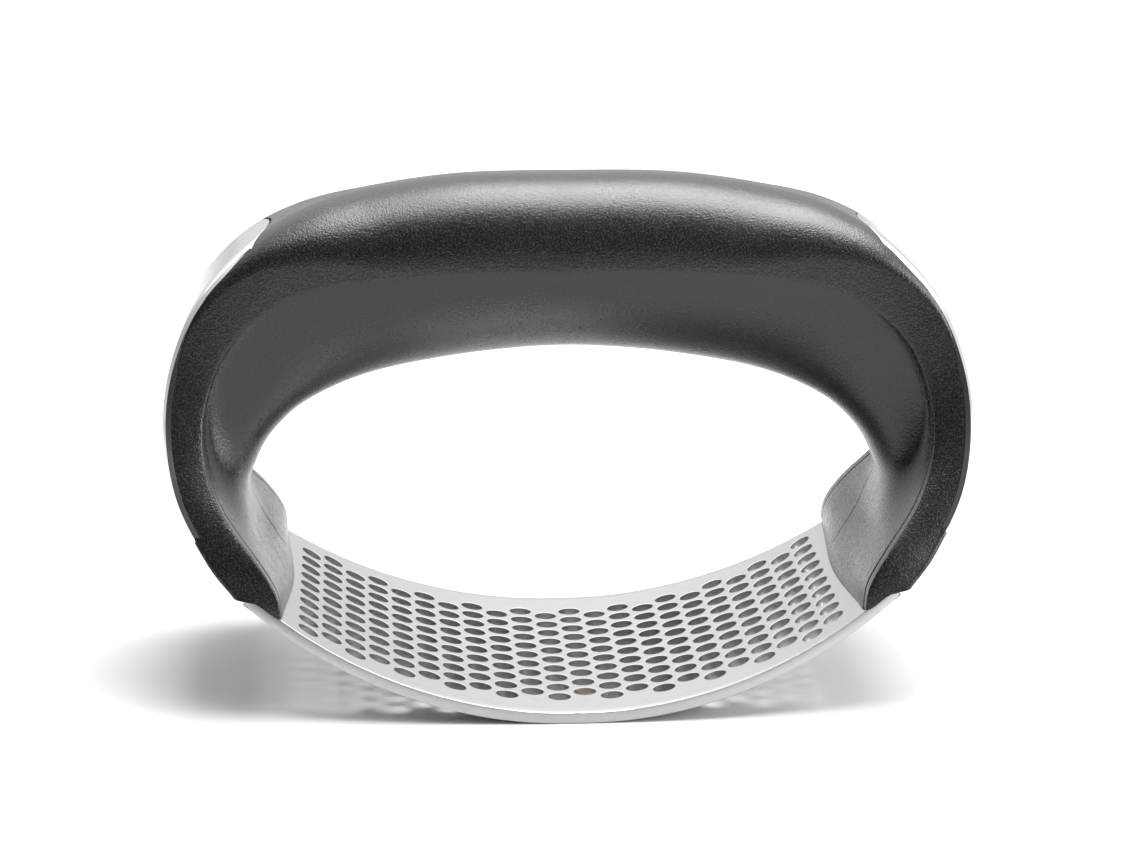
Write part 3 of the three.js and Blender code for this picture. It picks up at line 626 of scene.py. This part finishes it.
CELL = 0.5                   # size of the grid's cells in Y
FIELD_HALF = (ROWS_OF_HOLES + 0.5) * PITCH / 2     # half depth of the perforated field
FIELD_CELLS = round(2 * FIELD_HALF / CELL)
HOLE_CELLS = round(ROWS_OF_HOLES * PITCH / CELL)   # a column of holes takes up this many
MARGIN_STEPS = 4             # between the field and the long edge
COLUMN_STEPS = 4             # grid lines in a column of holes
BESIDE_FIELD = (39.6, 41.2, BEND_START)            # grid lines between the field and the bend
SHOULDER_STEPS = 3
RIM = 0.14                   # rounding of the long edges
SHOULDER_Y = 8.6             # the shoulders beside a tongue start here
TONGUE_HALF = 7.0
TONGUE_BEND_STEPS = 8
TONGUE_STEPS = 4
HOLE_SIDES = 2 * (round(PITCH / CELL) + COLUMN_STEPS)     # as many as its square has points
CHAMFER, CHAMFER_DEPTH = 0.13, 0.045
COLLAR_RADIUS = 1.66         # a flat ring round each hole's chamfer


class Sheet:
    """Gathers the plate's vertices and faces. Vertices in one place are shared."""

    def __init__(self):
        self.vertices, self.faces = [], []
        self.known = {}
        self.punched, self.sheared = [], []

    def vertex(self, along, y, height, tongue=False):
        key = (round(along, 3), round(y, 3), round(height, 3), tongue)
        if key not in self.known:
            self.known[key] = len(self.vertices)
            self.vertices.append(plate_point(np.float64(along), y, height, tongue))
        return self.known[key]

    def face(self, corners, forward=True):
        self.faces.append(corners if forward else corners[::-1])

    def both(self, corners, tongue=False):
        """One face on each side of the sheet, over corners in (along, y)."""
        self.face([self.vertex(a, y, SHEET, tongue) for a, y in corners])
        self.face([self.vertex(a, y, 0.0, tongue) for a, y in reversed(corners)])


def row_line(along):
    """The grid's Y values at a distance along the plate."""
    edge = float(plate_half_depth(along)) - RIM
    margin = [edge + (FIELD_HALF - edge) * k / MARGIN_STEPS for k in range(MARGIN_STEPS)]
    cells = [-FIELD_HALF + CELL * k for k in range(FIELD_CELLS + 1)]
    return [-y for y in margin] + cells + margin[::-1]


def in_holes(column, row):
    """Whether a cell of the field lies in a hole's square. Every other column is shifted."""
    shift = 0 if column % 2 == 0 else FIELD_CELLS - HOLE_CELLS
    return shift <= row < shift + HOLE_CELLS


def add_sheet(sheet):
    """Both faces outside the holes' squares, and the long edges."""
    lines = [(k / COLUMN_STEPS - COLUMNS / 2) * COLUMN_STEP
             for k in range(COLUMNS * COLUMN_STEPS + 1)]
    shoulder = [BEND_START + (ARC_END - BEND_START) * k / SHOULDER_STEPS
                for k in range(1, SHOULDER_STEPS + 1)]
    ends = [*BESIDE_FIELD, *shoulder]
    alongs = [-a for a in reversed(ends)] + lines + ends
    for i, (a, b) in enumerate(zip(alongs, alongs[1:])):
        near, far = row_line(a), row_line(b)
        step = i - len(ends)
        perforated = 0 <= step < COLUMN_STEPS * COLUMNS
        beside_tongue = min(abs(a), abs(b)) >= BEND_START - 1e-6
        for r in range(len(near) - 1):
            if perforated and in_holes(step // COLUMN_STEPS, r - MARGIN_STEPS):
                continue
            if beside_tongue and max(abs(near[r]), abs(near[r + 1])) < SHOULDER_Y:
                continue
            sheet.both([(a, near[r]), (b, far[r]), (b, far[r + 1]), (a, near[r + 1])])
        for front in (-1, 1):
            add_long_edge(sheet, front, (a, abs(near[0])), (b, abs(far[0])))


def add_long_edge(sheet, front, near, far):
    """A step of a long edge: rounded over on both sides, with a flat face between."""
    turns = [k * math.pi / 6 for k in range(4)]
    profiles = []
    for line, edge in (near, far):
        upper = [(edge + RIM * math.sin(q), SHEET - RIM * (1 - math.cos(q))) for q in turns]
        lower = [(edge + RIM * math.sin(q), RIM * (1 - math.cos(q))) for q in reversed(turns)]
        profiles.append([(line, front * y, height) for y, height in upper + lower])
    first_sheared = 2            # the uppermost faces are as bright as the sheet
    for p in range(len(profiles[0]) - 1):
        corners = [profiles[0][p], profiles[0][p + 1], profiles[1][p + 1], profiles[1][p]]
        if p >= first_sheared:
            sheet.sheared.append(len(sheet.faces))
        sheet.face([sheet.vertex(*corner) for corner in corners], front < 0)


def add_shoulder_ends(sheet):
    for side in (-1, 1):
        line = side * ARC_END
        rows = row_line(line)
        for low, high in zip(rows, rows[1:]):
            if max(abs(low), abs(high)) < SHOULDER_Y:
                continue
            sheet.face([sheet.vertex(line, low, SHEET), sheet.vertex(line, low, 0.0),
                        sheet.vertex(line, high, 0.0), sheet.vertex(line, high, SHEET)], side > 0)


def add_tongues(sheet):
    """The tongues, up inside the feet."""
    bend_end = BEND_START + BEND_LENGTH
    runs = [BEND_START + BEND_LENGTH * k / TONGUE_BEND_STEPS for k in range(TONGUE_BEND_STEPS + 1)]
    runs += [bend_end + TONGUE_LENGTH * k / TONGUE_STEPS for k in range(1, TONGUE_STEPS + 1)]
    rows = [-TONGUE_HALF + CELL * k for k in range(round(2 * TONGUE_HALF / CELL) + 1)]
    for side in (-1, 1):
        for a, b in zip(runs, runs[1:]):
            for low, high in zip(rows, rows[1:]):
                quad = [(side * a, low), (side * b, low), (side * b, high), (side * a, high)]
                sheet.both(quad if side > 0 else quad[::-1], True)


def square_points():
    """Points round a hole's square, on the grid's lines, one for each side of the hole."""
    x, y = COLUMN_STEP / 2, PITCH / 2
    across, steps = COLUMN_STEP / COLUMN_STEPS, round(y / CELL)
    return ([(x, CELL * k) for k in range(steps + 1)]
            + [(x - across * k, y) for k in range(1, COLUMN_STEPS + 1)]
            + [(-x, y - CELL * k) for k in range(1, 2 * steps + 1)]
            + [(across * k - x, -y) for k in range(1, COLUMN_STEPS + 1)]
            + [(x, CELL * k - y) for k in range(1, steps)])


def join_rings(sheet, near, far, forward):
    for k in range(HOLE_SIDES):
        m = (k + 1) % HOLE_SIDES
        sheet.face([near[k], near[m], far[m], far[k]], forward)


def add_hole(sheet, middle, centre):
    """A hole with chamfered rims, in its own square."""
    turns = [2 * math.pi * k / HOLE_SIDES for k in range(HOLE_SIDES)]

    def circle(radius, height):
        return [(middle + radius * math.cos(q), centre + radius * math.sin(q), height)
                for q in turns]

    rims = []
    for face, depth, top in ((SHEET, SHEET - CHAMFER_DEPTH, True), (0.0, CHAMFER_DEPTH, False)):
        outlines = [[(middle + x, centre + y, face) for x, y in square_points()],
                    circle(COLLAR_RADIUS, face), circle(HOLE_RADIUS + CHAMFER, face),
                    circle(HOLE_RADIUS, depth)]
        rings = [[sheet.vertex(*point) for point in outline] for outline in outlines]
        for near, far in zip(rings, rings[1:]):
            join_rings(sheet, near, far, top)
        rims.append(rings[-1])
    sheet.punched.extend(range(len(sheet.faces), len(sheet.faces) + HOLE_SIDES))
    join_rings(sheet, rims[0], rims[1], True)


def build_plate():
    sheet = Sheet()
    add_sheet(sheet)
    add_shoulder_ends(sheet)
    add_tongues(sheet)
    for column in range(COLUMNS):
        middle = (column - (COLUMNS - 1) / 2) * COLUMN_STEP
        front = -FIELD_HALF if column % 2 == 0 else PITCH / 2 - FIELD_HALF
        for row in range(ROWS_OF_HOLES):
            add_hole(sheet, middle, front + PITCH * (row + 0.5))
    piece = add_mesh("plate", sheet.vertices, sheet.faces, sharp=30)
    for finish in (satin, punched_steel, sheared_steel):
        piece.data.materials.append(finish)
    for index, group in ((1, sheet.punched), (2, sheet.sheared)):
        for face in group:
            piece.data.polygons[face].material_index = index
    return piece


# ---------------------------------------------------------------- materials

class Shading:
    """The nodes of a material or of the world, with short ways to add to them."""

    def __init__(self, tree):
        self.nodes, self.links = tree.nodes, tree.links

    def coordinates(self, output):
        return self.nodes.new("ShaderNodeTexCoord").outputs[output]

    def noise(self, coordinates, scale, detail, stretch=None):
        """A noise over coordinates in metres. A scale is in features a metre."""
        texture = self.nodes.new("ShaderNodeTexNoise")
        texture.inputs["Scale"].default_value = scale
        texture.inputs["Detail"].default_value = detail
        source = coordinates
        if stretch:
            mapping = self.nodes.new("ShaderNodeMapping")
            mapping.inputs["Scale"].default_value = stretch
            self.links.new(coordinates, mapping.inputs["Vector"])
            source = mapping.outputs["Vector"]
        self.links.new(source, texture.inputs["Vector"])
        return texture.outputs["Fac"]

    def wrinkles(self, coordinates, scale):
        texture = self.nodes.new("ShaderNodeTexVoronoi")
        texture.feature = "SMOOTH_F1"
        texture.inputs["Scale"].default_value = scale
        self.links.new(coordinates, texture.inputs["Vector"])
        return texture.outputs["Distance"]

    def ramp(self, value, low, high, start, end):
        """From low to high as the value goes from start to end."""
        node = self.nodes.new("ShaderNodeMapRange")
        node.inputs["From Min"].default_value = start
        node.inputs["From Max"].default_value = end
        node.inputs["To Min"].default_value = low
        node.inputs["To Max"].default_value = high
        self.links.new(value, node.inputs["Value"])
        return node.outputs["Result"]

    def colours(self, value, low, high, start=0.0, end=1.0):
        """The same between two colours."""
        node = self.nodes.new("ShaderNodeValToRGB")
        for element, position, colour in zip(node.color_ramp.elements, (start, end), (low, high)):
            element.position = position
            element.color = (*colour, 1)
        self.links.new(value, node.inputs["Fac"])
        return node.outputs["Color"]

    def maths(self, operation, *values):
        """A sum or the like, of numbers and of other nodes' outputs."""
        node = self.nodes.new("ShaderNodeMath")
        node.operation = operation
        for socket, value in zip(node.inputs, values):
            if isinstance(value, float):
                socket.default_value = value
            else:
                self.links.new(value, socket)
        return node.outputs["Value"]

    def bump(self, height, distance, strength, normal=None):
        node = self.nodes.new("ShaderNodeBump")
        node.inputs["Distance"].default_value = distance
        node.inputs["Strength"].default_value = strength
        self.links.new(height, node.inputs["Height"])
        if normal is not None:
            self.links.new(normal, node.inputs["Normal"])
        return node.outputs["Normal"]


def new_material(name):
    material = bpy.data.materials.new(name)
    material.use_nodes = True
    shader = material.node_tree.nodes["Principled BSDF"]
    return material, Shading(material.node_tree), shader.inputs


def grained_plastic():
    material, shading, inputs = new_material("grained_black_plastic")
    where = shading.coordinates("Object")
    grain = shading.noise(where, scale=4600, detail=2)
    wrinkled = shading.bump(shading.wrinkles(where, scale=2600), distance=0.00005, strength=0.3)
    normal = shading.bump(grain, distance=0.00008, strength=0.75, normal=wrinkled)
    shading.links.new(normal, inputs["Normal"])
    patches = shading.noise(where, scale=160, detail=4)
    shading.links.new(shading.ramp(patches, 0.20, 0.27, 0.3, 0.7), inputs["Roughness"])
    shade = shading.colours(grain, (0.005, 0.005, 0.0051), (0.026, 0.026, 0.0264), 0.45, 0.75)
    shading.links.new(shade, inputs["Base Color"])
    return material


def smooth_plastic():
    """Black plastic with fine pores and a few stains."""
    material, shading, inputs = new_material("smooth_black_plastic")
    where = shading.coordinates("Object")
    pores = shading.noise(where, scale=3400, detail=3)
    normal = shading.bump(pores, distance=0.00011, strength=0.6)
    shading.links.new(normal, inputs["Normal"])
    stains = shading.noise(where, scale=420, detail=4)
    roughness = shading.maths("ADD", shading.ramp(stains, 0.17, 0.26, 0.3, 0.7),
                              shading.ramp(pores, -0.06, 0.10, 0.35, 0.7))
    shading.links.new(roughness, inputs["Roughness"])
    shade = shading.colours(stains, (0.006, 0.006, 0.0062), (0.010, 0.010, 0.0102))
    shading.links.new(shade, inputs["Base Color"])
    return material


CLOUDED = 0.96               # steel's darker patches, as a share of its colour
STEEL_TINT = (0.82, 0.82, 0.82, 1)


def steel(name, colour, roughness, grain, depth):
    """Steel with a fine grain, given as features a metre along X, Y and Z."""
    material, shading, inputs = new_material(name)
    where = shading.coordinates("Object")
    brushed = shading.noise(where, scale=1, detail=3, stretch=grain)
    clouds = shading.noise(where, scale=70, detail=3)
    shading.links.new(shading.ramp(brushed, *roughness, 0.3, 0.7), inputs["Roughness"])
    shading.links.new(shading.bump(brushed, distance=depth, strength=0.3), inputs["Normal"])
    shade = shading.colours(clouds, [CLOUDED * c for c in colour], colour)
    shading.links.new(shade, inputs["Base Color"])
    inputs["Metallic"].default_value = 1.0
    inputs["Specular Tint"].default_value = STEEL_TINT
    return material


def floor_material():
    material, _, inputs = new_material("floor")
    inputs["Base Color"].default_value = (0.50, 0.50, 0.50, 1)
    inputs["Roughness"].default_value = 0.9
    inputs["Specular IOR Level"].default_value = 0.1
    return material


# ---------------------------------------------------------------- the pieces

black_grain = grained_plastic()
black_smooth = smooth_plastic()
satin = steel("satin_steel", (0.57, 0.57, 0.57), (0.27, 0.36), (300, 4000, 2000), 0.00001)
polished = steel(
    "polished_steel", (0.78, 0.78, 0.785), (0.10, 0.15), (500, 3000, 500), 0.000003)
punched_steel = steel(
    "punched_steel", (0.38, 0.36, 0.345), (0.35, 0.55), (1500, 1500, 4000), 0.00002)
sheared_steel = steel(
    "sheared_steel", (0.46, 0.46, 0.46), (0.34, 0.5), (3500, 2500, 900), 0.00003)
zinc = steel("zinc_steel", (0.62, 0.63, 0.64), (0.32, 0.42), (1500, 1500, 1500), 0.00001)


def finish_piece(piece, finish, slot, *nodes):
    """Gives a piece its finish, if it has none yet, and its place in the frame."""
    if finish:
        piece.data.materials.append(finish)
    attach(piece, "root")
    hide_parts(*nodes)


finish_piece(build_plate(), None, "plate_steel", "rocker_plate")
finish_piece(build_outer_shell(), black_grain, "shell_plastic", "handle_outer_shell")
finish_piece(build_inner_shell("inner_shell_front", -1, FRONT_COLUMNS), black_smooth, "liner_plastic",
             "handle_inner_shell_front")
finish_piece(build_inner_shell("inner_shell_back", 1, BACK_COLUMNS), black_smooth, "liner_plastic",
             "handle_inner_shell_back")
for side_name, side in SIDES.items():
    finish_piece(build_trim(f"trim_{side_name}", side), polished, "trim_steel",
                 f"trim_strip_{side_name}")

for name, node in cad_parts.items():
    if name.startswith("screw"):
        node.data.materials.clear()
        node.data.materials.append(zinc)

# ---------------------------------------------------------------- floor, light and camera

FLOOR_HALF = 4.0
floor_mesh = bpy.data.meshes.new("floor")
floor_mesh.from_pydata(
    [(x * FLOOR_HALF, y * FLOOR_HALF, 0) for x, y in ((-1, -1), (1, -1), (1, 1), (-1, 1))],
    [], [(0, 1, 2, 3)])
floor = bpy.data.objects.new("floor", floor_mesh)
bpy.context.scene.collection.objects.link(floor)
floor.data.materials.append(floor_material())


def add_softbox(name, place, target, size, power):
    """A rectangular area light that points at its target, in metres and watts."""
    light = bpy.data.lights.new(name, "AREA")
    light.shape = "RECTANGLE"
    light.size, light.size_y = size
    light.energy = power
    lamp = bpy.data.objects.new(name, light)
    lamp.location = place
    lamp.rotation_euler = (Vector(target) - Vector(place)).to_track_quat("-Z", "Y").to_euler()
    bpy.context.scene.collection.objects.link(lamp)


add_softbox("overhead", place=(0.19, 0.03, 0.9), target=(0.19, 0.03, 0), size=(0.68, 0.67),
            power=18)
add_softbox("right", place=(0.7, -0.4, 0.3), target=(0, 0, 0.035), size=(0.5, 0.5), power=6)


def studio_world():
    """White behind and at the right and brighter overhead, but dark at the left and in front,
    where the camera stands."""
    world = bpy.data.worlds.new("studio")
    bpy.context.scene.world = world
    world.use_nodes = True
    shading = Shading(world.node_tree)
    split = shading.nodes.new("ShaderNodeSeparateXYZ")
    shading.links.new(shading.coordinates("Generated"), split.inputs["Vector"])
    to_the_right = shading.maths("MULTIPLY", split.outputs["X"], 0.55)
    to_the_back = shading.maths("ADD", to_the_right, split.outputs["Y"])
    around = shading.ramp(to_the_back, low=0.05, high=1.0, start=-0.55, end=-0.1)
    overhead = shading.ramp(split.outputs["Z"], low=1.0, high=2.1, start=0.3, end=0.6)
    background = shading.nodes["Background"]
    background.inputs["Color"].default_value = (1, 1, 1, 1)
    shading.links.new(shading.maths("MULTIPLY", around, overhead), background.inputs["Strength"])


studio_world()

# The camera's lens, place and turn in degrees were fitted to the plate's holes in the photo.
CAMERA_LENS = 110.1
CAMERA_PLACE = (-0.02655, -0.45512, 0.14738)
CAMERA_TURN = (75.944, -0.101, -3.402)

camera_data = bpy.data.cameras.new("camera")
camera_data.sensor_width = 36
camera_data.lens = CAMERA_LENS
camera = bpy.data.objects.new("camera", camera_data)
camera.location = CAMERA_PLACE
camera.rotation_euler = [math.radians(turn) for turn in CAMERA_TURN]
bpy.context.scene.collection.objects.link(camera)
bpy.context.scene.camera = camera
bpy.context.scene.view_settings.view_transform = "Standard"
